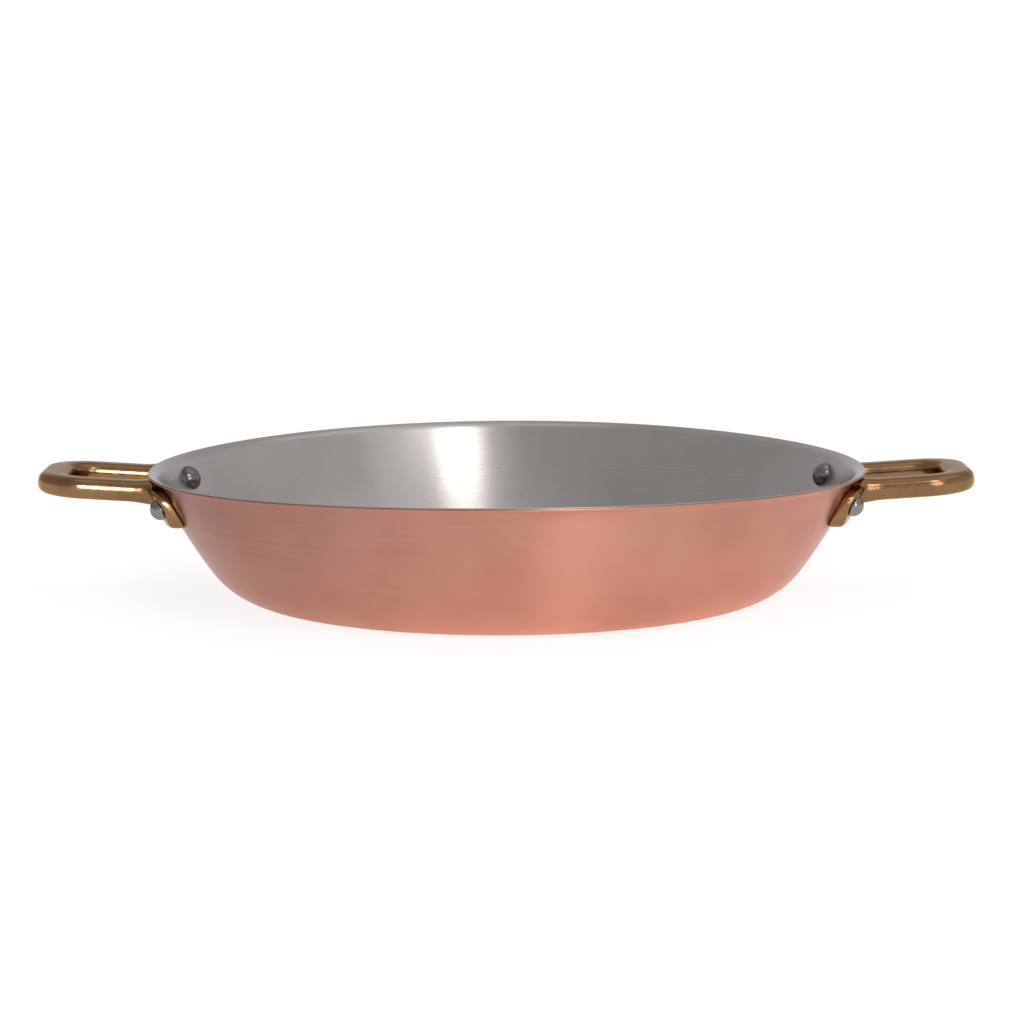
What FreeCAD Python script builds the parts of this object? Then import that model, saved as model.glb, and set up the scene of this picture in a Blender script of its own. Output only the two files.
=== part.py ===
import FreeCAD, Part

import math
import os

import Sketcher

# A round two-handled pan. The bowl is copper sheet with a bonded steel lining, turned as one flared form
# with a flat base and an outward lip. Two cast brass loop handles sit on the wall, each on two rivets.
# Lengths are in millimetres and angles in degrees. The origin is the middle of the base's underside,
# +Z is up, and the handles point along -X and +X.

SIZES = {
    # The bowl, measured on its outside face
    "rim_radius": 130.0,
    "pan_height": 48.4,
    "bend_radius": 28.5,
    "wall_bow": 182.0,
    "wall_slope": 23.67,
    "lip_radius": 2.0,
    "lip_slope": 70.0,
    "lip_width": 2.04,
    "copper_thickness": 0.8,
    "lining_thickness": 0.3,
    # The loop of a handle
    "handle_reach": 169.3,
    "arm_inset": 17.0,
    "arm_width": 10.9,
    "arm_height": 7.6,
    "arm_round": 2.9,
    "loop_corner": 12.8,
    "handle_lift": 3.6,
    "arm_drop": 6.8,
    # The plate of a handle
    "plate_length": 79.0,
    "plate_thickness": 4.7,
    "plate_top_drop": 4.8,
    "plate_bottom_drop": 18.4,
    "plate_corner": 5.0,
    "root_length": 8.0,
    "root_flare": 0.9,
    # The rivets
    "rivet_inset": 4.7,
    "rivet_drop": 9.4,
    "shank_radius": 2.5,
    "inner_head_radius": 4.6,
    "outer_head_radius": 3.8,
    "head_height": 3.6,
    "head_rim": 0.4,
    # Clearances between the pieces
    "hole_clearance": 0.05,
    "head_clearance": 0.2,
    "seat_depth": 0.15,
    "head_relief": 0.1,
}

SHEET_THICKNESS = "(Sizes.copper_thickness + Sizes.lining_thickness)"

# Between a handle's two rivets and between its two arms, each pair set in from the plate's ends
RIVET_SPACING = "(Sizes.plate_length - 2 * Sizes.rivet_inset)"
ARM_SPACING = "(Sizes.plate_length - 2 * Sizes.arm_inset)"

# Centres of the arcs that make the outside face, as radius from the axis and height. The lip is a tight
# arc and, past it, a flat ring out to the rim.
LIP_R = (
    "(Sizes.rim_radius + Sizes.lip_radius * cos(Sizes.lip_slope)"
    " - Sizes.lip_width * sin(Sizes.lip_slope))"
)
LIP_Z = (
    f"(Sizes.pan_height - (Sizes.lip_radius + {SHEET_THICKNESS}) * sin(Sizes.lip_slope)"
    " - Sizes.lip_width * cos(Sizes.lip_slope))"
)
WALL_R = f"({LIP_R} - (Sizes.lip_radius + Sizes.wall_bow) * cos(Sizes.wall_slope))"
WALL_Z = f"({LIP_Z} + (Sizes.lip_radius + Sizes.wall_bow) * sin(Sizes.wall_slope))"
BEND_R = (
    f"({WALL_R} + sqrt((Sizes.wall_bow - Sizes.bend_radius)^2 - ({WALL_Z} - Sizes.bend_radius)^2))"
)

# How a constraint names the ends and centre of a line or arc, its sketch's origin and the two axes
START, END, CENTRE = 1, 2, 3
ORIGIN = (-1, 1)
HORIZONTAL_AXIS, VERTICAL_AXIS = -1, -2

doc = FreeCAD.newDocument("TwoHandledPan")
sheet = doc.addObject("Spreadsheet::Sheet", "Sizes")
for row, (name, value) in enumerate(SIZES.items(), start=1):
    sheet.set(f"A{row}", name)
    sheet.set(f"B{row}", str(value))
    sheet.setAlias(f"B{row}", name)
doc.recompute()


def number(expression):
    """The value of an expression over the sheet's sizes."""
    return float(sheet.evalExpression(expression))


def wall_radius_at(drop, outward="0"):
    """Expression: radius of the wall's face, moved outward, at a height below the rim."""
    return (
        f"({WALL_R} + sqrt((Sizes.wall_bow + {outward})^2"
        f" - ({WALL_Z} - Sizes.pan_height + {drop})^2))"
    )


def new_body(name):
    body = doc.addObject("PartDesign::Body", name)
    body.Label = name
    return body


def new_sketch(body, name, role, offset=None):
    """A sketch on one of the body's own origin planes, moved by an offset placement."""
    sketch = body.newObject("Sketcher::SketchObject", name)
    plane = next(f for f in body.Origin.OriginFeatures if f.Role == role)
    sketch.AttachmentSupport = (plane, [""])
    sketch.MapMode = "FlatFace"
    if offset is not None:
        sketch.AttachmentOffset = offset
    return sketch


def point(x, y):
    return FreeCAD.Vector(x, y, 0)


def add_line(sketch, start, end):
    return sketch.addGeometry(Part.LineSegment(point(*start), point(*end)))


def add_arc(sketch, centre, radius, first, last):
    """A counterclockwise arc between two angles in degrees."""
    circle = Part.Circle(point(*centre), FreeCAD.Vector(0, 0, 1), radius)
    return sketch.addGeometry(Part.ArcOfCircle(circle, math.radians(first), math.radians(last)))


def fix(sketch, kind, *places):
    """A constraint with no value, such as Tangent or Coincident."""
    sketch.addConstraint(Sketcher.Constraint(kind, *places))


def drive(sketch, expression, kind, *places):
    """A constraint whose value follows the sheet."""
    index = sketch.addConstraint(Sketcher.Constraint(kind, *places, number(expression)))
    sketch.setExpression(f"Constraints[{index}]", expression)


def put(sketch, geometry, end, x, y):
    """Places a point of a geometry at two expressions, from the sketch's origin."""
    drive(sketch, x, "DistanceX", *ORIGIN, geometry, end)
    drive(sketch, y, "DistanceY", *ORIGIN, geometry, end)


def turn(body, name, sketch, kind="PartDesign::Revolution"):
    """A full turn of a sketch about the vertical axis, added or cut."""
    feature = body.newObject(kind, name)
    feature.Profile = sketch
    feature.ReferenceAxis = (sketch, ["V_Axis"])
    feature.Angle = 360
    doc.recompute()
    return feature


def add_turned_line(sketch, depth):
    """Base, bend, wall, lip and flat ring at a depth below the outside face, each tangent to the next."""
    below = number(depth)
    lip_r, lip_z = number(LIP_R), number(LIP_Z)
    wall_r, wall_z = number(WALL_R), number(WALL_Z)
    bend_r, bend_z = number(BEND_R), number("Sizes.bend_radius")
    wall_slope, lip_slope = number("Sizes.wall_slope"), number("Sizes.lip_slope")
    bend_slope = math.degrees(math.atan2(wall_z - bend_z, bend_r - wall_r))
    base = add_line(sketch, (0, below), (bend_r, below))
    bend = add_arc(sketch, (bend_r, bend_z), bend_z - below, -90, -bend_slope)
    wall = add_arc(sketch, (wall_r, wall_z), number("Sizes.wall_bow") - below, -bend_slope, -wall_slope)
    lip = add_arc(
        sketch, (lip_r, lip_z), number("Sizes.lip_radius") + below, 180 - lip_slope, 180 - wall_slope
    )
    edge_r = f"(Sizes.rim_radius - {depth} * cos(Sizes.lip_slope))"
    edge_z = f"(Sizes.pan_height - ({SHEET_THICKNESS} - {depth}) * sin(Sizes.lip_slope))"
    ring = add_line(sketch, point_of(sketch, lip, START), (number(edge_r), number(edge_z)))
    fix(sketch, "PointOnObject", base, START, VERTICAL_AXIS)
    fix(sketch, "Horizontal", base)
    fix(sketch, "Tangent", base, END, bend, START)
    fix(sketch, "Tangent", bend, END, wall, START)
    fix(sketch, "Tangent", wall, END, lip, END)
    fix(sketch, "Tangent", lip, START, ring, START)
    put(sketch, lip, CENTRE, LIP_R, LIP_Z)
    drive(sketch, f"Sizes.lip_radius + {depth}", "Radius", lip)
    drive(sketch, "Sizes.bend_radius", "DistanceY", *ORIGIN, bend, CENTRE)
    drive(sketch, f"Sizes.bend_radius - {depth}", "Radius", bend)
    drive(sketch, f"Sizes.wall_bow - {depth}", "Radius", wall)
    drive(sketch, WALL_Z, "DistanceY", *ORIGIN, wall, CENTRE)
    put(sketch, ring, END, edge_r, edge_z)
    return base, ring


def point_of(sketch, geometry, end):
    place = sketch.getPoint(geometry, end)
    return place.x, place.y


def join(sketch, first, first_end, second, second_end):
    """A straight line between the ends of two geometries."""
    line = add_line(
        sketch, point_of(sketch, first, first_end), point_of(sketch, second, second_end)
    )
    fix(sketch, "Coincident", line, START, first, first_end)
    fix(sketch, "Coincident", line, END, second, second_end)


def sheet_layer(name, outer_depth, inner_depth):
    """One layer of the bowl's sheet, turned between two depths below the outside face, with rivet holes."""
    body = new_body(name)
    sketch = new_sketch(body, f"{name}_section", "XZ_Plane")
    outer_base, outer_ring = add_turned_line(sketch, outer_depth)
    inner_base, inner_ring = add_turned_line(sketch, inner_depth)
    join(sketch, outer_base, START, inner_base, START)
    join(sketch, outer_ring, END, inner_ring, END)
    turned = turn(body, f"{name}_turned", sketch)
    body.Tip = turned
    for side in (0, 180):
        for place in rivet_places():
            drill(body, FreeCAD.Placement(FreeCAD.Vector(), about_z(side)) * place)
    return body


def about_z(angle):
    return FreeCAD.Rotation(FreeCAD.Vector(0, 0, 1), angle)


def rivet_places():
    """Placements of a handle's two rivets on the wall's outside face, with their Z axes outward."""
    radius = number(wall_radius_at("Sizes.rivet_drop"))
    height = number("Sizes.pan_height - Sizes.rivet_drop")
    slope = math.degrees(math.asin((number(WALL_Z) - height) / number("Sizes.wall_bow")))
    azimuth = math.degrees(math.asin(number(f"{RIVET_SPACING} / 2") / radius))
    lean = FreeCAD.Rotation(FreeCAD.Vector(0, 1, 0), 90 + slope)
    on_wall = FreeCAD.Placement(FreeCAD.Vector(radius, 0, height), lean)
    return [
        FreeCAD.Placement(FreeCAD.Vector(), about_z(angle)) * on_wall
        for angle in (-azimuth, azimuth)
    ]


def bore(body, place, radius, length, symmetric):
    """A round cut about a placement's Z axis, both ways from it or only outward."""
    number_of = len(body.Group)
    sketch = new_sketch(body, f"{body.Name}_circle_{number_of}", "XY_Plane", place)
    circle = sketch.addGeometry(
        Part.Circle(point(0, 0), FreeCAD.Vector(0, 0, 1), number(radius))
    )
    fix(sketch, "Coincident", circle, CENTRE, *ORIGIN)
    drive(sketch, radius, "Radius", circle)
    pocket = body.newObject("PartDesign::Pocket", f"{body.Name}_cut_{number_of}")
    pocket.Profile = sketch
    pocket.Type = "Length"
    pocket.setExpression("Length", length)
    if symmetric:
        pocket.SideType = "Symmetric"
    else:
        pocket.Reversed = True
    before = body.Shape.Volume
    doc.recompute()
    body.Tip = pocket
    doc.recompute()
    if not body.Shape.Volume < before:
        raise RuntimeError(f"{pocket.Name} cuts nothing")


def drill(body, place):
    """The hole for a rivet's shank, through everything that the rivet holds."""
    radius = "Sizes.shank_radius + Sizes.hole_clearance"
    bore(body, place, radius, f"2 * (Sizes.plate_thickness + {SHEET_THICKNESS})", True)


def add_rounded_rectangle(sketch, width, depth, corner):
    """A rectangle with round corners about the sketch's origin."""
    half_x, half_y, radius = number(f"{width} / 2"), number(f"{depth} / 2"), number(corner)
    flat_x, flat_y = half_x - radius, half_y - radius
    bottom = add_line(sketch, (-flat_x, -half_y), (flat_x, -half_y))
    low_right = add_arc(sketch, (flat_x, -flat_y), radius, -90, 0)
    right = add_line(sketch, (half_x, -flat_y), (half_x, flat_y))
    top_right = add_arc(sketch, (flat_x, flat_y), radius, 0, 90)
    top = add_line(sketch, (flat_x, half_y), (-flat_x, half_y))
    top_left = add_arc(sketch, (-flat_x, flat_y), radius, 90, 180)
    left = add_line(sketch, (-half_x, flat_y), (-half_x, -flat_y))
    low_left = add_arc(sketch, (-flat_x, -flat_y), radius, 180, 270)
    ring = [bottom, low_right, right, top_right, top, top_left, left, low_left]
    for first, second in zip(ring, ring[1:] + ring[:1]):
        fix(sketch, "Tangent", first, END, second, START)
    fix(sketch, "Horizontal", bottom)
    fix(sketch, "Horizontal", top)
    fix(sketch, "Vertical", right)
    fix(sketch, "Vertical", left)
    for arc in (top_right, top_left, low_left):
        fix(sketch, "Equal", low_right, arc)
    drive(sketch, corner, "Radius", low_right)
    drive(sketch, f"{width} / 2", "DistanceX", *ORIGIN, right, START)
    drive(sketch, f"{width} / 2", "DistanceX", left, START, *ORIGIN)
    drive(sketch, f"{depth} / 2", "DistanceY", *ORIGIN, top, START)
    drive(sketch, f"{depth} / 2", "DistanceY", bottom, START, *ORIGIN)


def loop_place():
    """Where the arms' middle plane meets the wall: its X axis runs outward and rises with the handle."""
    radius = number(wall_radius_at("Sizes.arm_drop"))
    height = number("Sizes.pan_height - Sizes.arm_drop")
    lift = FreeCAD.Rotation(FreeCAD.Vector(0, 1, 0), -number("Sizes.handle_lift"))
    return FreeCAD.Placement(FreeCAD.Vector(radius, 0, height), lift)


def across_arm(along, side):
    """A plane across an arm: its sketch X axis points sideways and its Y axis up."""
    middle = FreeCAD.Vector(along, side * number(f"{ARM_SPACING} / 2"), 0)
    facing = FreeCAD.Rotation(FreeCAD.Vector(1, 1, 1), 120)
    return loop_place() * FreeCAD.Placement(middle, facing)


def add_loop(body):
    """The loop of a handle: a rounded bar along a flat U with round corners."""
    path = new_sketch(body, "loop_path", "XY_Plane", loop_place())
    wall = wall_radius_at("Sizes.arm_drop")
    length = f"((Sizes.handle_reach - {wall}) / cos(Sizes.handle_lift) - Sizes.arm_width / 2)"
    buried = f"({ARM_SPACING} / 2)"
    end_x, side, corner = number(length), number(f"{ARM_SPACING} / 2"), number("Sizes.loop_corner")
    start_x = -number(buried)
    near_arm = add_line(path, (start_x, -side), (end_x - corner, -side))
    near_corner = add_arc(path, (end_x - corner, corner - side), corner, -90, 0)
    end = add_line(path, (end_x, corner - side), (end_x, side - corner))
    far_corner = add_arc(path, (end_x - corner, side - corner), corner, 0, 90)
    far_arm = add_line(path, (end_x - corner, side), (start_x, side))
    line = [near_arm, near_corner, end, far_corner, far_arm]
    for first, second in zip(line, line[1:]):
        fix(path, "Tangent", first, END, second, START)
    fix(path, "Horizontal", near_arm)
    fix(path, "Vertical", end)
    fix(path, "Symmetric", near_arm, START, far_arm, END, HORIZONTAL_AXIS)
    fix(path, "Equal", near_corner, far_corner)
    drive(path, "Sizes.loop_corner", "Radius", near_corner)
    drive(path, ARM_SPACING, "DistanceY", near_arm, START, far_arm, END)
    drive(path, length, "DistanceX", *ORIGIN, end, START)
    drive(path, buried, "DistanceX", near_arm, START, *ORIGIN)
    section = new_sketch(body, "arm_section", "XY_Plane", across_arm(start_x, -1))
    add_rounded_rectangle(section, "Sizes.arm_width", "Sizes.arm_height", "Sizes.arm_round")
    pipe = body.newObject("PartDesign::AdditivePipe", "loop")
    pipe.Profile = section
    pipe.Spine = (path, [])
    doc.recompute()
    return pipe


def add_root(body, side):
    """The widening of an arm where it runs into the plate, from its own section to a larger one inside."""
    reach = number("Sizes.root_length")
    sections = []
    for place, growth in ((-1, "4 * Sizes.root_flare"), (1, "0")):
        sketch = new_sketch(body, f"root_section_{side}_{place}", "XY_Plane", across_arm(place * reach, side))
        width, depth = (f"(Sizes.{size} + {growth})" for size in ("arm_width", "arm_height"))
        add_rounded_rectangle(sketch, width, depth, f"(Sizes.arm_round + ({growth}) / 2)")
        sections.append(sketch)
    loft = body.newObject("PartDesign::AdditiveLoft", f"root_{side}")
    loft.Profile = sections[0]
    loft.Sections = sections[1:]
    loft.Ruled = True
    doc.recompute()
    return loft


def add_plate(body):
    """The plate of a handle: a rounded rectangle seen from outside, with a face that follows the wall."""
    top = "(Sizes.pan_height - Sizes.plate_top_drop)"
    bottom = "(Sizes.pan_height - Sizes.plate_bottom_drop)"
    low_radius = wall_radius_at("Sizes.plate_bottom_drop")
    inside = f"(sqrt({low_radius}^2 - (Sizes.plate_length / 2)^2) - Sizes.plate_thickness)"
    outside = "(Sizes.rim_radius + 3 * Sizes.plate_thickness)"
    middle = FreeCAD.Vector(0, number(f"({top} + {bottom}) / 2"), number(inside))
    outline = new_sketch(body, "plate_outline", "YZ_Plane", FreeCAD.Placement(middle, FreeCAD.Rotation()))
    height = "(Sizes.plate_bottom_drop - Sizes.plate_top_drop)"
    add_rounded_rectangle(outline, "Sizes.plate_length", height, "Sizes.plate_corner")
    block = body.newObject("PartDesign::Pad", "plate")
    block.Profile = outline
    block.setExpression("Length", f"{outside} - {inside}")
    doc.recompute()

    outer = "(Sizes.wall_bow + Sizes.plate_thickness)"
    above, below = (f"({top} + Sizes.plate_thickness)", f"({bottom} - Sizes.plate_thickness)")
    wall_r, wall_z, face_radius = number(WALL_R), number(WALL_Z), number(outer)
    slopes = [math.degrees(math.asin((wall_z - number(z)) / face_radius)) for z in (below, above)]
    sketch = new_sketch(body, "beyond_plate", "XZ_Plane")
    face = add_arc(sketch, (wall_r, wall_z), face_radius, -slopes[0], -slopes[1])
    drive(sketch, WALL_Z, "DistanceY", *ORIGIN, face, CENTRE)
    drive(sketch, outer, "Radius", face)
    drive(sketch, below, "DistanceY", *ORIGIN, face, START)
    drive(sketch, above, "DistanceY", *ORIGIN, face, END)
    low_edge = wall_radius_at("Sizes.plate_bottom_drop + Sizes.plate_thickness", "Sizes.plate_thickness")
    drive(sketch, low_edge, "DistanceX", *ORIGIN, face, START)
    far = f"({outside} + Sizes.plate_length / 2)"
    front = add_line(sketch, (number(far), number(below)), (number(far), number(above)))
    put(sketch, front, START, far, below)
    put(sketch, front, END, far, above)
    join(sketch, face, START, front, START)
    join(sketch, face, END, front, END)
    return turn(body, "plate_faced", sketch, "PartDesign::Groove")


def pan_outside(body):
    """The bowl's outside form, filled, as a cut that leaves the handle seated on the wall."""
    sketch = new_sketch(body, "wall_outside", "XZ_Plane")
    base, ring = add_turned_line(sketch, "0")
    top = add_line(sketch, (0, number("Sizes.pan_height")), point_of(sketch, ring, END))
    fix(sketch, "Coincident", top, END, ring, END)
    fix(sketch, "Horizontal", top)
    fix(sketch, "PointOnObject", top, START, VERTICAL_AXIS)
    join(sketch, base, START, top, START)
    return turn(body, "seat_on_wall", sketch, "PartDesign::Groove")


def handle(name, angle):
    """A cast brass handle at +X, turned about the pan's axis by an angle."""
    body = new_body(name)
    add_plate(body)
    add_loop(body)
    for side in (-1, 1):
        add_root(body, side)
    body.Tip = pan_outside(body)
    doc.recompute()
    above_plate = number("Sizes.plate_thickness - Sizes.seat_depth")
    seat = FreeCAD.Placement(FreeCAD.Vector(0, 0, above_plate), FreeCAD.Rotation())
    for place in rivet_places():
        head = "Sizes.outer_head_radius + Sizes.head_clearance"
        bore(body, place * seat, head, "2 * Sizes.head_height", False)
        drill(body, place)
    body.Placement = FreeCAD.Placement(FreeCAD.Vector(), about_z(angle))
    return body


def add_head(sketch, seat, outward):
    """Half of a domed head's section on a seat; gives the dome and its tip, and the line under the head."""
    way, radius = (1, "Sizes.outer_head_radius") if outward else (-1, "Sizes.inner_head_radius")
    shank, head = number("Sizes.shank_radius"), number(radius)
    rim, dome = number("Sizes.head_rim"), number("Sizes.head_height - Sizes.head_rim")
    ball = (head * head + dome * dome) / (dome + dome)
    spread = math.degrees(math.asin(head / ball))
    level = way * number(seat)
    middle = level + way * (rim + dome - ball)
    if outward:
        cap = add_arc(sketch, (0, middle), ball, 90 - spread, 90)
    else:
        cap = add_arc(sketch, (0, middle), ball, -90, spread - 90)
    cap_edge, cap_tip = (START, END) if outward else (END, START)
    side = add_line(sketch, (head, level + way * rim), (head, level))
    under = add_line(sketch, (head, level), (shank, level))
    fix(sketch, "PointOnObject", cap, CENTRE, VERTICAL_AXIS)
    fix(sketch, "PointOnObject", cap, cap_tip, VERTICAL_AXIS)
    fix(sketch, "Coincident", cap, cap_edge, side, START)
    fix(sketch, "Coincident", side, END, under, START)
    fix(sketch, "Vertical", side)
    fix(sketch, "Horizontal", under)
    drive(sketch, f"{way} * {seat}", "DistanceY", *ORIGIN, under, START)
    drive(sketch, f"{way} * Sizes.head_rim", "DistanceY", under, START, side, START)
    drive(sketch, f"{way} * Sizes.head_height", "DistanceY", under, START, cap, cap_tip)
    drive(sketch, radius, "DistanceX", *ORIGIN, under, START)
    drive(sketch, "Sizes.shank_radius", "DistanceX", *ORIGIN, under, END)
    return (cap, cap_tip), (under, END)


def rivet(name, place):
    """A rivet with a domed head outside the plate and another inside the bowl."""
    body = new_body(name)
    sketch = new_sketch(body, f"{name}_section", "XZ_Plane")
    outer_seat = "(Sizes.plate_thickness - Sizes.seat_depth)"
    inner_seat = f"({SHEET_THICKNESS} + Sizes.head_relief)"
    outer_tip, outer_neck = add_head(sketch, outer_seat, True)
    inner_tip, inner_neck = add_head(sketch, inner_seat, False)
    join(sketch, *outer_neck, *inner_neck)
    join(sketch, *outer_tip, *inner_tip)
    turn(body, f"{name}_turned", sketch)
    body.Placement = place
    return body


copper = sheet_layer("copper_shell", "0", "Sizes.copper_thickness")
lining = sheet_layer("steel_lining", "Sizes.copper_thickness", SHEET_THICKNESS)
right = handle("right_handle", 0)
left = handle("left_handle", 180)
fasteners = []
for side_name, side in (("right", 0), ("left", 180)):
    for count, place in enumerate(rivet_places(), start=1):
        turned_place = FreeCAD.Placement(FreeCAD.Vector(), about_z(side)) * place
        fasteners.append(rivet(f"rivet_{side_name}_{count}", turned_place))
rivets = doc.addObject("Part::Compound", "rivets")
rivets.Label = "rivets"
rivets.Links = fasteners
doc.recompute()

for thing in doc.Objects:
    if "Invalid" in thing.State or "Error" in thing.State:
        raise RuntimeError(f"{thing.Name} failed: {thing.State}")

os.makedirs("parts", exist_ok=True)
for piece in (copper, lining, right, left, rivets):
    shape = piece.Shape
    if shape.isNull() or not shape.isValid():
        raise RuntimeError(f"{piece.Label} has no valid shape")
    shape.exportStep(f"parts/{piece.Label}.step")
    box = shape.BoundBox
    print(
        f"{piece.Label}: {len(shape.Solids)} solids, {shape.Volume:.1f} mm3,"
        f" x {box.XMin:.2f} {box.XMax:.2f}, y {box.YMin:.2f} {box.YMax:.2f}, z {box.ZMin:.2f} {box.ZMax:.2f}"
    )
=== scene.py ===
# %% [markdown]
# # A two-handled copper pan
# This lesson dresses the finished CAD model of a round pan for a photograph. The bowl is copper sheet
# bonded to a thin steel lining, and two cast brass loops are riveted to its wall. The CAD model has
# every size right but looks like plastic, so each piece here gets the mesh and the finish of the metal
# it is made of. The lesson goes from the bowl to the handles, the rivets, the finishes and the studio.

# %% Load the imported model
import math

import bmesh
import bpy
from mathutils import Matrix, Vector


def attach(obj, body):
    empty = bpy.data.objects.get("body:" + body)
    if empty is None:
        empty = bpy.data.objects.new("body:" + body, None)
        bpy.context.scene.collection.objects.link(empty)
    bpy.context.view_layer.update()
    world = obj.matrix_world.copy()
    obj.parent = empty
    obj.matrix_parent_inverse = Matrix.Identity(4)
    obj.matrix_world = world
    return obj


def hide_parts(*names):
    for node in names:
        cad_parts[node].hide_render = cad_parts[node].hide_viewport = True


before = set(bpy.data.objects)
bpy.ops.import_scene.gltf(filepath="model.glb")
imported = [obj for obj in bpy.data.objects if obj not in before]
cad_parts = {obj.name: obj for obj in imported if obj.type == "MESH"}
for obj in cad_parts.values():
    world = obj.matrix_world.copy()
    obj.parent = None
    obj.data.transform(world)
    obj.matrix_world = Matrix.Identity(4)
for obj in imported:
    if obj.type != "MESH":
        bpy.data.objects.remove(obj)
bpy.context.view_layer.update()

# %% [markdown]
# ## Sizes
# Blender works in metres here, and pan makers in millimetres. One helper turns one into the other, so
# the sizes below read as they would on a workshop drawing. The bowl's wall is a chain of curves that
# run smoothly into each other: a flat base, a bend at the foot, a wall that is very slightly bowed, and
# a lip that folds outward into a narrow flat ring. Each curve is part of a circle, so a centre and a
# radius say it.

# %% The bowl's sizes
def mm(length):
    return length / 1000


RIM_RADIUS = mm(130.0)
PAN_HEIGHT = mm(48.4)
BEND_RADIUS = mm(28.5)
WALL_BOW = mm(182.0)
WALL_SLOPE = math.radians(23.67)
LIP_RADIUS = mm(2.0)
LIP_SLOPE = math.radians(70.0)
LIP_WIDTH = mm(2.04)
COPPER_THICKNESS = mm(0.8)
LINING_THICKNESS = mm(0.3)
SHEET_THICKNESS = COPPER_THICKNESS + LINING_THICKNESS

along_ring = Vector((math.sin(LIP_SLOPE), 0, math.cos(LIP_SLOPE)))
lip_centre = Vector((
    RIM_RADIUS + LIP_RADIUS * math.cos(LIP_SLOPE), 0,
    PAN_HEIGHT - (LIP_RADIUS + SHEET_THICKNESS) * math.sin(LIP_SLOPE),
)) - along_ring * LIP_WIDTH
toward_lip = Vector((math.cos(WALL_SLOPE), 0, -math.sin(WALL_SLOPE)))
wall_centre = lip_centre - toward_lip * (LIP_RADIUS + WALL_BOW)
bend_height = wall_centre.z - BEND_RADIUS
bend_reach = math.sqrt((WALL_BOW - BEND_RADIUS) ** 2 - bend_height ** 2)
bend_centre = Vector((wall_centre.x + bend_reach, 0, BEND_RADIUS))
bend_slope = math.atan2(bend_height, bend_reach)
print(f"foot radius {bend_centre.x * 1000:.1f} mm, wall {math.degrees(bend_slope):.1f} to"
      f" {math.degrees(WALL_SLOPE):.1f} degrees from upright")

# %% [markdown]
# ## One line of the section
# A spinner presses a flat disc over a turning form, so every ring of the bowl is a circle about one
# axis. We do the same in two moves. First one point is drawn out into the section's line: it is
# extruded along the base, then spun a little way round each curve's centre. A spin of a single point
# leaves a chain of short edges behind it, which is a smooth arc made with no list of coordinates.

# %% Draw the section's line
STEPS = {"base": 10, "bend": 16, "wall": 16, "lip": 10, "ring": 2}


def swing(bm, tip, centre, angle, steps):
    """Draws a point round a centre in the section's plane; a positive angle turns it up and outward."""
    arc = bmesh.ops.spin(bm, geom=[tip], cent=centre, axis=(0, -1, 0), angle=angle, steps=steps)
    return next(item for item in arc["geom_last"] if isinstance(item, bmesh.types.BMVert))


def section_line(bm, depth):
    """From the middle of the base to the rim's edge, at a depth below the outside face."""
    tip = bm.verts.new((0, 0, depth))
    for step in range(STEPS["base"]):
        tip = bmesh.ops.extrude_vert_indiv(bm, verts=[tip])["verts"][0]
        tip.co.x = bend_centre.x * (step + 1) / STEPS["base"]
    tip = swing(bm, tip, bend_centre, math.pi / 2 - bend_slope, STEPS["bend"])
    tip = swing(bm, tip, wall_centre, bend_slope - WALL_SLOPE, STEPS["wall"])
    tip = swing(bm, tip, lip_centre, WALL_SLOPE - LIP_SLOPE, STEPS["lip"])
    for _ in range(STEPS["ring"]):
        tip = bmesh.ops.extrude_vert_indiv(bm, verts=[tip])["verts"][0]
        tip.co += along_ring * LIP_WIDTH / STEPS["ring"]
    return tip


trial = bmesh.new()
lip_edge = section_line(trial, 0)
print(f"{len(trial.verts)} points, ending at radius {lip_edge.co.x * 1000:.1f} mm"
      f" and height {lip_edge.co.z * 1000:.1f} mm")
trial.free()

# %% [markdown]
# ## Closing up a turned form
# The second move spins the section a full turn about the pan's axis. The spin joins its last copy to its
# first, but where the section touches the axis it leaves a whole ring of points in one place. These are
# merged into a single one, and then every face is pointed outward. The rivets are closed the same way.

# %% Close up a turned form
WELD_DISTANCE = mm(0.005)


def close_up(bm):
    """Merges the points that a full spin leaves at its poles, then points every face outward."""
    bmesh.ops.remove_doubles(bm, verts=bm.verts, dist=WELD_DISTANCE)
    bmesh.ops.recalc_face_normals(bm, faces=bm.faces)


print(f"points closer than {WELD_DISTANCE * 1e6:.0f} micrometres become one")

# %% [markdown]
# ## Copper and steel layers
# The real sheet is two metals rolled into one, and only its cut edge at the rim shows both. Each layer
# here is a closed solid: an outer and an inner line, joined at the lip and spun a full turn. A buffed
# rim always catches a thin line of light, so the cut edge is rounded by nearly half the layer's
# thickness. Only edges that turn by more than a radian count as corners, and the rim's are the only ones.

# %% Spin a layer of the sheet
TURN_STEPS = 288
RIM_CORNER = 1.0
RIM_SOFTNESS = 0.48
RIM_SEGMENTS = 4


def spun_layer(outer_depth, inner_depth):
    """One closed layer of the bowl, between two depths below its outside face."""
    bm = bmesh.new()
    outer_tip = section_line(bm, outer_depth)
    inner_tip = section_line(bm, inner_depth)
    bm.edges.new((outer_tip, inner_tip))
    bmesh.ops.spin(bm, geom=bm.verts[:] + bm.edges[:], cent=(0, 0, 0), axis=(0, 0, 1),
                   angle=math.tau, steps=TURN_STEPS, use_merge=True)
    close_up(bm)
    rim = [edge for edge in bm.edges if len(edge.link_faces) == 2 and edge.calc_face_angle() > RIM_CORNER]
    softness = RIM_SOFTNESS * (inner_depth - outer_depth)
    bmesh.ops.bevel(bm, geom=rim, offset=softness, segments=RIM_SEGMENTS, profile=0.5,
                    affect="EDGES", material=-1)
    return bm


copper = spun_layer(0, COPPER_THICKNESS)
lining = spun_layer(COPPER_THICKNESS, SHEET_THICKNESS)
print("faces:", len(copper.faces), "copper,", len(lining.faces), "steel")

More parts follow.
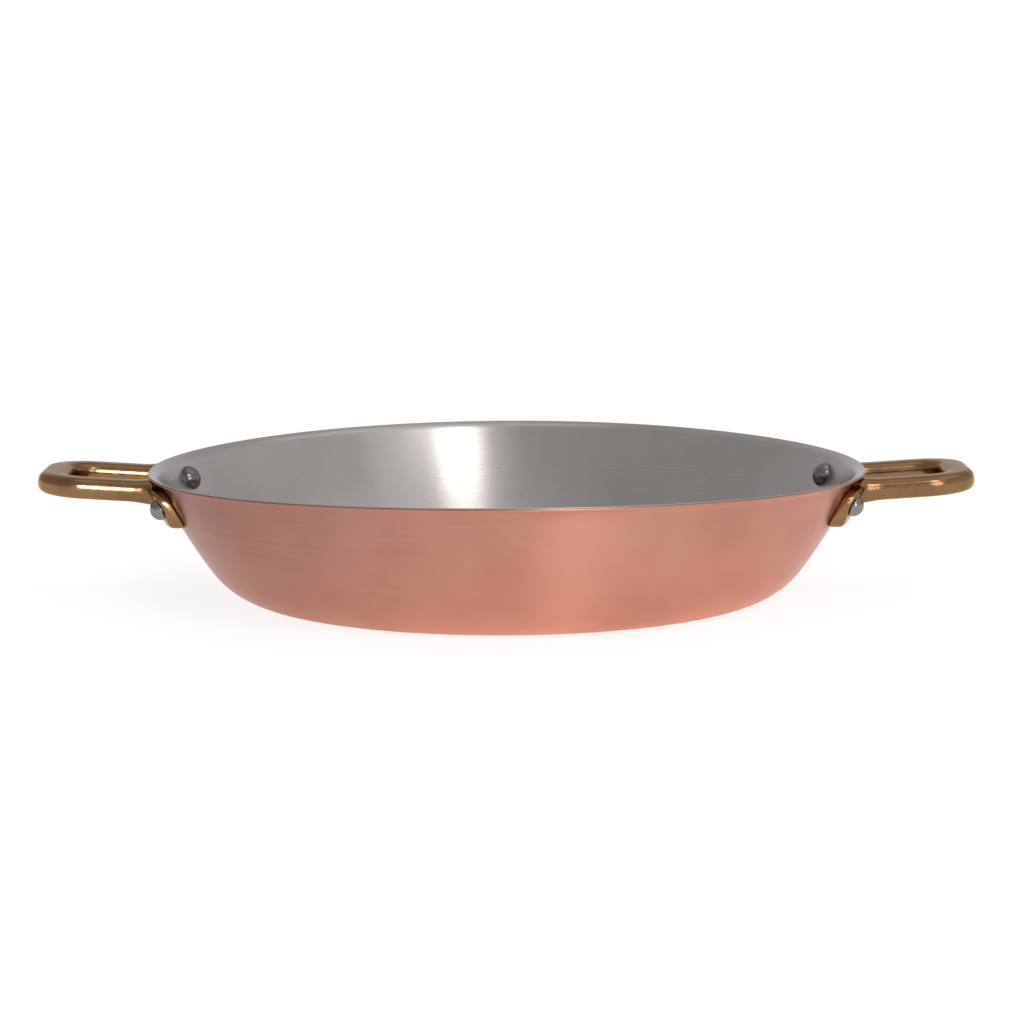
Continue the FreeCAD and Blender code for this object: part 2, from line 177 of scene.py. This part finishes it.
# %% [markdown]
# ## The rim isn't quite level
# Riveting the handles pulls a thin pan very slightly out of shape: the rim sinks by a millimetre at the
# handles and rises as much between them. It is hardly visible, but it is what stops the rim from looking
# like a perfect ellipse. The shift grows with the square of the height, so the base stays flat.

# %% Warp the bowl
SAG = mm(1.25)


def sag_at(place):
    """How far the metal moves up at a place: down at the handles, up between them."""
    azimuth = math.atan2(place.y, place.x)
    return -SAG * math.cos(2 * azimuth) * (place.z / PAN_HEIGHT) ** 2


for layer in (copper, lining):
    for vert in layer.verts:
        vert.co.z += sag_at(vert.co)
print(f"rim moves {sag_at(Vector((RIM_RADIUS, 0, PAN_HEIGHT))) * 1000:+.2f} mm at the handles")

# %% [markdown]
# ## From mesh to piece
# Every finished piece takes the same last steps: it becomes an object at the origin, is shaded smooth
# apart from its real corners, rides on the pan's one body and stands for its CAD node. One helper does
# all of this, so that no piece misses a step.

# %% Finish a piece
pieces = {}


def finish_piece(name, bm, node, corner=math.radians(50)):
    """Turns a bmesh into a finished piece; edges that turn by more than the corner angle stay crisp."""
    mesh = bpy.data.meshes.new(name)
    bm.to_mesh(mesh)
    bm.free()
    mesh.polygons.foreach_set("use_smooth", [True] * len(mesh.polygons))
    mesh.set_sharp_from_angle(angle=corner)
    piece = bpy.data.objects.new(name, mesh)
    bpy.context.collection.objects.link(piece)
    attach(piece, "root")
    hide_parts(node)
    pieces[name] = piece
    triangles = sum(len(face.vertices) - 2 for face in mesh.polygons)
    print(f"{name}: {triangles} triangles")


finish_piece("copper_bowl", copper, "copper_shell")
finish_piece("bowl_lining", lining, "steel_lining")

# %% [markdown]
# ## Cast brass handles
# Each handle is one casting, so there is no crisp inside corner on it: the metal flows from the loop
# into the plate, and tumbling and polishing round the outer edges. The CAD solid has the right form
# with sharp meetings. A fine voxel remesh turns a copy of it into an even skin, and rounds of smoothing
# then melt the meetings by about a millimetre, as the mould and the polisher do.

# %% Melt the casting's corners
GRAIN = mm(0.4)
SMOOTHING_ROUNDS = 34
SMOOTHING_PULL = 0.5
CAD_WELD_DISTANCE = mm(0.002)


def cast_copy(node):
    """A softened copy of a CAD node's mesh, which comes as loose triangles and is merged first."""
    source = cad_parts[node]
    bm = bmesh.new()
    bm.from_mesh(source.data)
    bmesh.ops.remove_doubles(bm, verts=bm.verts, dist=CAD_WELD_DISTANCE)
    mesh = bpy.data.meshes.new("casting")
    bm.to_mesh(mesh)
    bm.free()
    blank = bpy.data.objects.new("casting", mesh)
    bpy.context.collection.objects.link(blank)
    skin = blank.modifiers.new("skin", "REMESH")
    skin.mode = "VOXEL"
    skin.voxel_size = GRAIN
    evaluated = blank.evaluated_get(bpy.context.evaluated_depsgraph_get())
    bm = bmesh.new()
    bm.from_mesh(evaluated.to_mesh())
    evaluated.to_mesh_clear()
    bpy.data.objects.remove(blank)
    for _ in range(SMOOTHING_ROUNDS):
        bmesh.ops.smooth_vert(bm, verts=bm.verts, factor=SMOOTHING_PULL,
                              use_axis_x=True, use_axis_y=True, use_axis_z=True)
    return bm


print(f"castings melt in {SMOOTHING_ROUNDS} rounds on a {GRAIN * 1000:.1f} mm grain")

# %% [markdown]
# ### A handle for each side
# Handles are fitted one at a time, so two seldom sit at quite the same height. On this pan the right one
# is a little lower, so its casting slips down the wall, and as it drops it moves inward to stay seated.

# %% Cast both handles
SLIP = {"left": mm(0.0), "right": mm(0.8)}

for side, outward in (("left", -1), ("right", 1)):
    casting = cast_copy(f"{side}_handle")
    down_the_wall = Vector((-outward * SLIP[side] * math.tan(WALL_SLOPE), 0, -SLIP[side]))
    bmesh.ops.translate(casting, verts=casting.verts, vec=down_the_wall)
    finish_piece(f"{side}_casting", casting, f"{side}_handle")

# %% [markdown]
# ## Rivets
# A rivet is a pin with a ready-made domed head. It goes in from one side, and the other end is hammered
# into a second dome. Four of them hold this pan's handles. The bowl's section says where they go: at
# their height, the wall's arc gives the radius and how far the wall leans.

# %% Rivet sizes and places
RIVET_SPACING = mm(69.6)
RIVET_DROP = mm(9.4)
SHANK_RADIUS = mm(2.5)
INNER_HEAD_RADIUS = mm(4.6)
OUTER_HEAD_RADIUS = mm(3.8)
HEAD_HEIGHT = mm(3.6)
HEAD_RIM = mm(0.4)
PLATE_THICKNESS = mm(4.7)
SEAT_DEPTH = mm(0.15)

rivet_height = PAN_HEIGHT - RIVET_DROP
rivet_radius = wall_centre.x + math.sqrt(WALL_BOW ** 2 - (wall_centre.z - rivet_height) ** 2)
rivet_lean = math.asin((wall_centre.z - rivet_height) / WALL_BOW)
rivet_azimuth = math.asin(RIVET_SPACING / 2 / rivet_radius)
print(f"rivets at radius {rivet_radius * 1000:.2f} mm and"
      f" {math.degrees(rivet_azimuth):.2f} degrees each way")

# %% [markdown]
# ### A rivet's section
# A head is drawn as the bowl's section was: out along its seat, up a short rim, and over the top in an
# arc. The same helper draws both heads, the outer one upward and the inner one downward. On this pan the
# inner head is the wider of the two.

# %% Draw a head
HEAD_STEPS = 14


def head_line(bm, radius, seat, way):
    """Half a head's section, from the shank out, up the rim and over the dome to the axis."""
    dome_height = HEAD_HEIGHT - HEAD_RIM
    ball_radius = (radius ** 2 + dome_height ** 2) / (2 * dome_height)
    dome_spread = math.asin(radius / ball_radius)
    neck = bm.verts.new((SHANK_RADIUS, 0, way * seat))
    foot = bmesh.ops.extrude_vert_indiv(bm, verts=[neck])["verts"][0]
    foot.co.x = radius
    edge = bmesh.ops.extrude_vert_indiv(bm, verts=[foot])["verts"][0]
    edge.co.z += way * HEAD_RIM
    centre = Vector((0, 0, way * (seat + HEAD_HEIGHT - ball_radius)))
    swing(bm, edge, centre, way * dome_spread, HEAD_STEPS)
    return neck


trial = bmesh.new()
head_line(trial, OUTER_HEAD_RADIUS, 0, 1)
head_top = max(vert.co.z for vert in trial.verts)
print(f"a head's section has {len(trial.verts)} points and is {head_top * 1000:.1f} mm high")
trial.free()

# %% [markdown]
# ### Four rivets in place
# Each section is spun about the rivet's own axis, and its heads' rims are rounded by a hair. The corner
# at the shank is left as it is, because nobody sees it. The rivet is then set square to the wall, and the
# inner heads follow the warped wall, so no light shows under them.

# %% Make the rivets
RIVET_TURN_STEPS = 48
HEAD_CORNER = 0.6
HEAD_SOFTNESS = mm(0.15)
HEAD_SEGMENTS = 2
HEAD_CRISPNESS = math.radians(35)


def add_rivet(bm, inner_seat, place):
    """Spins one rivet, sets it in its place and adds it to the others."""
    one = bmesh.new()
    outer_neck = head_line(one, OUTER_HEAD_RADIUS, PLATE_THICKNESS - SEAT_DEPTH, 1)
    inner_neck = head_line(one, INNER_HEAD_RADIUS, inner_seat, -1)
    one.edges.new((outer_neck, inner_neck))
    bmesh.ops.spin(one, geom=one.verts[:] + one.edges[:], cent=(0, 0, 0), axis=(0, 0, 1),
                   angle=math.tau, steps=RIVET_TURN_STEPS, use_merge=True)
    close_up(one)
    beyond_shank = (SHANK_RADIUS + OUTER_HEAD_RADIUS) / 2
    rims = [edge for edge in one.edges
            if edge.calc_face_angle() > HEAD_CORNER and edge.verts[0].co.xy.length > beyond_shank]
    bmesh.ops.bevel(one, geom=rims, offset=HEAD_SOFTNESS, segments=HEAD_SEGMENTS, profile=0.5,
                    affect="EDGES", material=-1)
    one.transform(place)
    mesh = bpy.data.meshes.new("rivet")
    one.to_mesh(mesh)
    one.free()
    bm.from_mesh(mesh)
    bpy.data.meshes.remove(mesh)


rivets = bmesh.new()
for turn in (0, math.pi):
    for azimuth in (-rivet_azimuth, rivet_azimuth):
        on_wall = Matrix.Translation((rivet_radius, 0, rivet_height))
        outward = Matrix.Rotation(math.pi / 2 + rivet_lean, 4, "Y")
        place = Matrix.Rotation(turn + azimuth, 4, "Z") @ on_wall @ outward
        give = sag_at(place.translation) * math.sin(rivet_lean)
        add_rivet(rivets, SHEET_THICKNESS + give, place)
finish_piece("rivet_set", rivets, "rivets", HEAD_CRISPNESS)

# %% [markdown]
# ## Finishes
# Bare metal has no colour under its shine: its base colour tints what it reflects, and its roughness
# blurs it. At a grazing angle a metal reflects more like white, and an edge tint dims or colours that.
# Each finish starts from a metal with these three, and one helper adds and wires any other node.

# %% Helpers for node trees
def new_finish(name, base_colour, roughness, edge_tint):
    """A plain metal, with its node tree and shader for the finish that is built on it."""
    material = bpy.data.materials.new(name)
    material.use_nodes = True
    tree = material.node_tree
    shader = tree.nodes["Principled BSDF"]
    shader.inputs["Metallic"].default_value = 1.0
    shader.inputs["Base Color"].default_value = (*base_colour, 1)
    shader.inputs["Roughness"].default_value = roughness
    shader.inputs["Specular Tint"].default_value = (*edge_tint, 1)
    return material, tree, shader


def add_node(tree, kind, inputs=(), **settings):
    """A node with its settings, and each input either a link or a plain value."""
    node = tree.nodes.new(kind)
    for key, value in settings.items():
        setattr(node, key, value)
    for key, value in dict(inputs).items():
        if isinstance(value, bpy.types.NodeSocket):
            tree.links.new(value, node.inputs[key])
        else:
            node.inputs[key].default_value = value
    return node


print("node helpers ready")

# %% [markdown]
# ### Noise, drift and ranges
# Nothing made by hand is one flat colour. A noise that reads the piece's own coordinates stays with the
# metal when it is turned. Most of its values lie near the middle, so a map range stretches that middle
# over the values that we want: a narrow middle for colours, and a wider one for gloss.

# %% Noise and drift
NOISE_MIDDLE = (0.35, 0.65)
NOISE_SPAN = (0.3, 0.7)


def noise(tree, where, scale, detail=3.0, roughness=0.5):
    settings = {"Vector": where, "Scale": scale, "Detail": detail, "Roughness": roughness}
    return add_node(tree, "ShaderNodeTexNoise", settings).outputs["Fac"]


def spread(tree, value, low, high, new_low, new_high):
    """Stretches one range of values over another."""
    ranges = {"Value": value, "From Min": low, "From Max": high, "To Min": new_low, "To Max": new_high}
    return add_node(tree, "ShaderNodeMapRange", ranges).outputs["Result"]


def mixed(tree, factor, start, end):
    """A colour between two colours."""
    colours = {"Factor": factor, "A": (*start, 1), "B": (*end, 1)}
    return add_node(tree, "ShaderNodeMix", colours, data_type="RGBA").outputs["Result"]


def drift_of_colour(tree, scale, pale, dark):
    """A colour that drifts between two from place to place."""
    place = add_node(tree, "ShaderNodeTexCoord").outputs["Object"]
    patches = noise(tree, place, scale, detail=4.0)
    return mixed(tree, spread(tree, patches, *NOISE_MIDDLE, 0.0, 1.0), pale, dark)


print("noise helpers ready")

# %% [markdown]
# ### A coordinate that runs round the pan
# Spun metal is covered in fine rings. Their pattern needs a coordinate along the rings that changes
# slowly and one across them that changes fast. Distance from the axis plus height is the same all along
# a ring, and it grows from ring to ring on the base and on the wall alike.

# %% Along and across the rings
def round_the_pan(tree, along, across):
    """A coordinate that changes slowly round the pan and fast from ring to ring."""
    place = add_node(tree, "ShaderNodeTexCoord").outputs["Object"]
    parts = add_node(tree, "ShaderNodeSeparateXYZ", {"Vector": place})
    flat = add_node(tree, "ShaderNodeCombineXYZ", {"X": parts.outputs["X"], "Y": parts.outputs["Y"]})
    reach = add_node(tree, "ShaderNodeVectorMath", {0: flat.outputs[0]}, operation="LENGTH")
    ring = add_node(tree, "ShaderNodeMath", {0: reach.outputs["Value"], 1: parts.outputs["Z"]},
                    operation="ADD")
    fast = add_node(tree, "ShaderNodeMath", {0: ring.outputs[0], 1: across}, operation="MULTIPLY")
    slow = add_node(tree, "ShaderNodeVectorMath", {0: flat.outputs[0], "Scale": along}, operation="SCALE")
    split = add_node(tree, "ShaderNodeSeparateXYZ", {"Vector": slow.outputs[0]})
    joined = add_node(tree, "ShaderNodeCombineXYZ",
                      {"X": split.outputs["X"], "Y": split.outputs["Y"], "Z": fast.outputs[0]})
    return joined.outputs[0]


print("ring helper ready")

# %% [markdown]
# ### Tarnish, painted shade and painted light
# Bare copper tarnishes from handling, so its colour drifts between pink and brown over a few
# centimetres. Two washes add painted shade and painted light: the left side is painted duller and
# cooler as shade, and the foot is painted a little brighter as light. Each wash is a tint that fades out
# along one axis and multiplies the colour. Two distances say where the wash is full and where it is gone.

# %% Wash the colour along an axis
PLAIN = (1.0, 1.0, 1.0)
# Painted shade on the left side: full at the first distance, gone at the second.
LEFT_SHADE_FADE = ("X", mm(-115), mm(-10))
# Painted light at the foot: full at the first distance, gone at the second.
FOOT_LIGHT_FADE = ("Z", mm(6), mm(40))


def painted_wash(tree, colour, fade, tint):
    """A colour under a tint that is full at the fade's start and gone at its end."""
    axis, full_at, gone_at = fade
    place = add_node(tree, "ShaderNodeTexCoord").outputs["Object"]
    parts = add_node(tree, "ShaderNodeSeparateXYZ", {"Vector": place})
    wash = mixed(tree, spread(tree, parts.outputs[axis], full_at, gone_at, 0.0, 1.0), tint, PLAIN)
    return add_node(tree, "ShaderNodeVectorMath", {0: colour, 1: wash}, operation="MULTIPLY").outputs[0]


print("washes ready")

# %% [markdown]
# ### Spun copper and steel
# The spinner's tool leaves fine rings, which change the gloss and lift the surface by a few thousandths
# of a millimetre. The anisotropic setting stretches the highlights as the real rings do: across
# themselves, so up and down the wall. Its tangent runs round the pan's axis, and a quarter of a turn
# lays the stretch across the rings.

# %% Spun metal
ACROSS_THE_RINGS = 0.25
RINGS_ALONG = 6.0
RINGS_ACROSS = 900.0
RING_HEIGHT = mm(0.01)
RING_BUMP = 0.2
SMOOTHEST_RING = -0.03
ROUGHEST_RING = 0.04
BLOTCH_SCALE = 28.0


def spun_metal(name, pale, dark, edge_tint, roughness, anisotropy, flank_shade=PLAIN, foot=PLAIN):
    """A metal with rings; its left-side tint is painted shade and its foot tint is painted light at the
    base.
    """
    material, tree, shader = new_finish(name, pale, roughness, edge_tint)
    rings = noise(tree, round_the_pan(tree, RINGS_ALONG, RINGS_ACROSS), 1.0, detail=6.0, roughness=0.7)
    colour = drift_of_colour(tree, BLOTCH_SCALE, pale, dark)
    # Painted shade: the left side is darkened and cooled.
    colour = painted_wash(tree, colour, LEFT_SHADE_FADE, flank_shade)
    # Painted light: the foot is brightened.
    colour = painted_wash(tree, colour, FOOT_LIGHT_FADE, foot)
    tree.links.new(colour, shader.inputs["Base Color"])
    gloss = spread(tree, rings, *NOISE_SPAN, roughness + SMOOTHEST_RING, roughness + ROUGHEST_RING)
    tree.links.new(gloss, shader.inputs["Roughness"])
    shader.inputs["Anisotropic"].default_value = anisotropy
    shader.inputs["Anisotropic Rotation"].default_value = ACROSS_THE_RINGS
    tangent = add_node(tree, "ShaderNodeTangent", direction_type="RADIAL", axis="Z")
    tree.links.new(tangent.outputs[0], shader.inputs["Tangent"])
    bump = add_node(tree, "ShaderNodeBump",
                    {"Height": rings, "Strength": RING_BUMP, "Distance": RING_HEIGHT})
    tree.links.new(bump.outputs[0], shader.inputs["Normal"])
    return material


print(f"rings up to {RING_HEIGHT * 1e6 * RING_BUMP:.0f} micrometres high")

# %% [markdown]
# ### The bowl's two metals
# The copper is the rougher one and its highlights are stretched the most, so the lamps spread into tall
# soft bands on it. It alone has the two washes, painted shade on the left side and painted light at the
# foot. The lining is the same finish in steel: smoother, nearly grey and even all round.

# %% Copper and lining
finishes = {}
finishes["copper"] = spun_metal(
    "spun_copper", pale=(0.67, 0.32, 0.24), dark=(0.60, 0.27, 0.20), edge_tint=(1.0, 0.92, 0.90),
    # The left-side tint is painted shade and the foot tint is painted light.
    roughness=0.40, anisotropy=0.98, flank_shade=(0.57, 0.62, 0.68), foot=(1.12, 1.03, 0.97),
)
finishes["lining_steel"] = spun_metal(
    "spun_steel", pale=(0.50, 0.47, 0.455), dark=(0.46, 0.43, 0.415), edge_tint=(1.0, 0.98, 1.0),
    roughness=0.28, anisotropy=0.9,
)
print("spun:", ", ".join(finishes))

# %% [markdown]
# ### Polished castings
# Polished castings keep a faint unevenness from the mould, finer than a fingertip can feel, and their
# colour darkens in patches where the polishing wheel hardly reached. One noise makes the colour drift,
# and a finer one changes the gloss and lifts the surface.

# %% Cast metal
PATCH_SCALE = 90.0
GRAIN_BUMP = 0.3
SMOOTHEST_GRAIN = -0.05
ROUGHEST_GRAIN = 0.08


def cast_metal(name, pale, dark, edge_tint, roughness, grain, lift):
    """A polished metal; grain is the scale of its fine unevenness and lift is how high that stands."""
    material, tree, shader = new_finish(name, pale, roughness, edge_tint)
    tree.links.new(drift_of_colour(tree, PATCH_SCALE, pale, dark), shader.inputs["Base Color"])
    place = add_node(tree, "ShaderNodeTexCoord").outputs["Object"]
    fine = noise(tree, place, grain, detail=4.0)
    gloss = spread(tree, fine, *NOISE_SPAN, roughness + SMOOTHEST_GRAIN, roughness + ROUGHEST_GRAIN)
    tree.links.new(gloss, shader.inputs["Roughness"])
    bump = add_node(tree, "ShaderNodeBump", {"Height": fine, "Strength": GRAIN_BUMP, "Distance": lift})
    tree.links.new(bump.outputs[0], shader.inputs["Normal"])
    return material


print(f"colour patches about {1000 / PATCH_SCALE:.0f} mm across")

# %% [markdown]
# ### Brass and rivet steel
# Brass browns in the air and under the fingers, so the base colour of these castings is much darker than
# new brass. The rivet heads are hammered and not cast, but a polished dome looks much the same, so they
# get the same finish in a grey metal with a finer grain.

# %% Brass and rivets
finishes["cast_brass"] = cast_metal(
    "polished_brass", pale=(0.275, 0.158, 0.078), dark=(0.22, 0.122, 0.058), edge_tint=(0.95, 0.80, 0.66),
    roughness=0.17, grain=400.0, lift=mm(0.03),
)
finishes["rivet_steel"] = cast_metal(
    "rivet_metal", pale=(0.27, 0.25, 0.25), dark=(0.17, 0.16, 0.155), edge_tint=(0.9, 0.88, 0.9),
    roughness=0.18, grain=900.0, lift=mm(0.05),
)
print(len(finishes), "finishes:", ", ".join(finishes))

# %% [markdown]
# ### Dressing the pieces
# The shapes and the finishes were made apart, so one short table joins them. Both castings share one
# material, as both were poured from the same brass.

# %% Put the finishes on
WEARS = {
    "copper_bowl": "copper",
    "bowl_lining": "lining_steel",
    "left_casting": "cast_brass",
    "right_casting": "cast_brass",
    "rivet_set": "rivet_steel",
}
for name, finish in WEARS.items():
    pieces[name].data.materials.clear()
    pieces[name].data.materials.append(finishes[finish])
print(len(WEARS), "pieces finished")

# %% [markdown]
# ## The studio
# The pan stands on white paper. The paper glows by itself as well as being lit, which is how a
# photographer's overexposed sweep behaves: it stays white whatever the lamps do. It is matt, so the pan
# leaves no mirror image on it.

# %% Floor
FLOOR_HALF_SIZE = 60.0
PAPER_GREY = 0.25
PAPER_GLOW = 0.85

floor_mesh = bpy.data.meshes.new("floor")
bm = bmesh.new()
bmesh.ops.create_grid(bm, x_segments=1, y_segments=1, size=FLOOR_HALF_SIZE)
bm.to_mesh(floor_mesh)
bm.free()
floor = bpy.data.objects.new("floor", floor_mesh)
bpy.context.collection.objects.link(floor)
paper = bpy.data.materials.new("white_paper")
paper.use_nodes = True
paper_shader = paper.node_tree.nodes["Principled BSDF"]
paper_shader.inputs["Base Color"].default_value = (PAPER_GREY, PAPER_GREY, PAPER_GREY, 1)
paper_shader.inputs["Roughness"].default_value = 1.0
paper_shader.inputs["Specular IOR Level"].default_value = 0.0
paper_shader.inputs["Emission Color"].default_value = (1, 1, 1, 1)
paper_shader.inputs["Emission Strength"].default_value = PAPER_GLOW
floor_mesh.materials.append(paper)
print(f"paper laid, {2 * FLOOR_HALF_SIZE:.0f} m across")

# %% [markdown]
# ### The room
# Metal shows only what it reflects, so an even grey room is most of the pan's look. It is a little
# darker on the left, lighter on the right and dimmer overhead, which shades the round wall. The camera
# is so low that its frame reaches the horizon, so a bright strip there continues the white paper.

# %% Room
HORIZON_LIGHT = 0.62
OVERHEAD_LIGHT = 0.5
LEFT_SHARE = 0.85
RIGHT_SHARE = 1.25
FAR_TABLE = 1.1
# How far a direction points up or to the right: 0 is level or straight ahead, and 1 is all the way.
RISE = (0.08, 0.45)
LEFT_SIDE = (-0.9, -0.15)
RIGHT_SIDE = (0.3, 0.95)
TABLE_EDGE = (0.02, 0.05)

world = bpy.data.worlds.new("studio")
bpy.context.scene.world = world
world.use_nodes = True
room = world.node_tree
direction = add_node(room, "ShaderNodeSeparateXYZ",
                     {"Vector": add_node(room, "ShaderNodeTexCoord").outputs["Generated"]})
rise = spread(room, direction.outputs["Z"], *RISE, HORIZON_LIGHT, OVERHEAD_LIGHT)
on_left = spread(room, direction.outputs["X"], *LEFT_SIDE, LEFT_SHARE, 1.0)
on_right = spread(room, direction.outputs["X"], *RIGHT_SIDE, 1.0, RIGHT_SHARE)
sides = add_node(room, "ShaderNodeMath", {0: on_left, 1: on_right}, operation="MULTIPLY")
walls = add_node(room, "ShaderNodeMath", {0: rise, 1: sides.outputs[0]}, operation="MULTIPLY")
far_table = spread(room, direction.outputs["Z"], *TABLE_EDGE, FAR_TABLE, 0.0)
level = add_node(room, "ShaderNodeMath", {0: walls.outputs[0], 1: far_table}, operation="MAXIMUM")
room.nodes["Background"].inputs["Color"].default_value = (1, 1, 1, 1)
room.links.new(level.outputs[0], room.nodes["Background"].inputs["Strength"])
bpy.context.scene.view_settings.view_transform = "Standard"
print(f"room from {HORIZON_LIGHT} at the horizon to {OVERHEAD_LIGHT} overhead")

# %% [markdown]
# ### The lamps
# Each lamp has one job. The key, high to the right of the camera, is mirrored as the upright white band
# on the lining, and a faint shoulder on each side of it softens the band's edges. The kick, low on the
# same side, puts the glow on the copper, and the top lamp brightens the handles a little. The glint draws
# the long streak on the left handle. A studio would keep it off the rest with flags, and here its lamp is
# linked to that one casting.

# %% Lights
LAMP_DISTANCE = 2.0


def far_light(name, azimuth, elevation, spread_angle, strength, only_on=()):
    """A soft light far away; its azimuth grows to the right, and it may keep to a few pieces."""
    data = bpy.data.lights.new(name, "SUN")
    data.angle = math.radians(spread_angle)
    data.energy = strength
    lamp = bpy.data.objects.new(name, data)
    bpy.context.collection.objects.link(lamp)
    if only_on:
        lit = bpy.data.collections.new(f"lit_by_{name}")
        for piece in only_on:
            lit.objects.link(piece)
        lamp.light_linking.receiver_collection = lit
    turn = math.radians(azimuth)
    rise = math.radians(elevation)
    away = Vector((math.sin(turn) * math.cos(rise), -math.cos(turn) * math.cos(rise), math.sin(rise)))
    lamp.location = away * LAMP_DISTANCE
    lamp.rotation_euler = away.to_track_quat("Z", "Y").to_euler()


far_light("key", azimuth=19.5, elevation=43, spread_angle=15, strength=0.38)
far_light("shoulder", azimuth=42, elevation=40, spread_angle=26, strength=0.07)
far_light("near_shoulder", azimuth=5, elevation=41, spread_angle=14, strength=0.03)
far_light("top", azimuth=100, elevation=75, spread_angle=60, strength=0.3)
far_light("kick", azimuth=24, elevation=14, spread_angle=28, strength=0.5)
far_light("glint", azimuth=-7, elevation=11, spread_angle=18, strength=1.6,
          only_on=[pieces["left_casting"]])
print(len(bpy.data.lights), "lamps")

# %% [markdown]
# ## Camera
# The photograph was taken from just above the rim with a long lens. The numbers come from matching the
# rim's ellipse and the base's curve: eight degrees above the table, about 1.3 metres away. A small shift
# puts the pan slightly below the middle of the frame, and a roll of a third of a degree is how the
# camera was held.

# %% Camera
CAMERA_DISTANCE = mm(1278.2)
CAMERA_ELEVATION = math.radians(8.151)
CAMERA_ROLL = math.radians(-0.311)
AIM = Vector((0, 0, mm(23.95)))
SENSOR_WIDTH = 36.0
FOCAL_LENGTH = 123.17
SHIFT_RIGHT = 0.0049
SHIFT_UP = 0.0175

camera_data = bpy.data.cameras.new("camera")
camera_data.sensor_width = SENSOR_WIDTH
camera_data.lens = FOCAL_LENGTH
camera_data.shift_x = SHIFT_RIGHT
camera_data.shift_y = SHIFT_UP
camera = bpy.data.objects.new("camera", camera_data)
bpy.context.collection.objects.link(camera)
away = Vector((0, -math.cos(CAMERA_ELEVATION), math.sin(CAMERA_ELEVATION)))
tilt = Matrix.Rotation(math.pi / 2 - CAMERA_ELEVATION, 4, "X") @ Matrix.Rotation(CAMERA_ROLL, 4, "Z")
camera.location = AIM + away * CAMERA_DISTANCE
camera.rotation_euler = tilt.to_euler()
bpy.context.scene.camera = camera
print("camera at", [round(v, 3) for v in camera.location])
